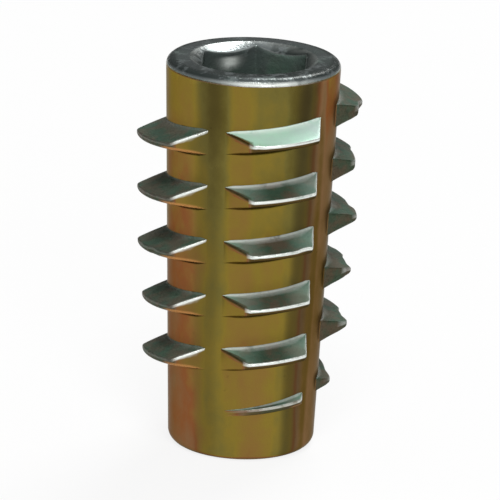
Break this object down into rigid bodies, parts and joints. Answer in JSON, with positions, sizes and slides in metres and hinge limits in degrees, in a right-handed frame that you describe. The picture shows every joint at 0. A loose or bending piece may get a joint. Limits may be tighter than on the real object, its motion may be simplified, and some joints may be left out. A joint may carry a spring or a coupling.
{
  "type": "threaded insert",
  "caption": "Flush hexagon-drive threaded insert for wood: tapered tubular body, coarse interrupted knife thread outside, machine thread inside.",
  "frame": {"origin": "centre of the bottom (leading) face, where the insert stands", "axes": "+Z along the axis towards the driven end with the hexagon socket; -Y points through the middle of the front column of blades; +X to the right of it"},
  "size_m": [0.0143, 0.0139, 0.025],
  "materials": {
    "yellow_chromated_zinc": "zinc die casting with a glossy, iridescent yellow chromate: olive gold on the wall, silver green on the blades and the end face"
  },
  "bodies": {
    "root": {"insert": "yellow_chromated_zinc"}
  },
  "joints": []
}
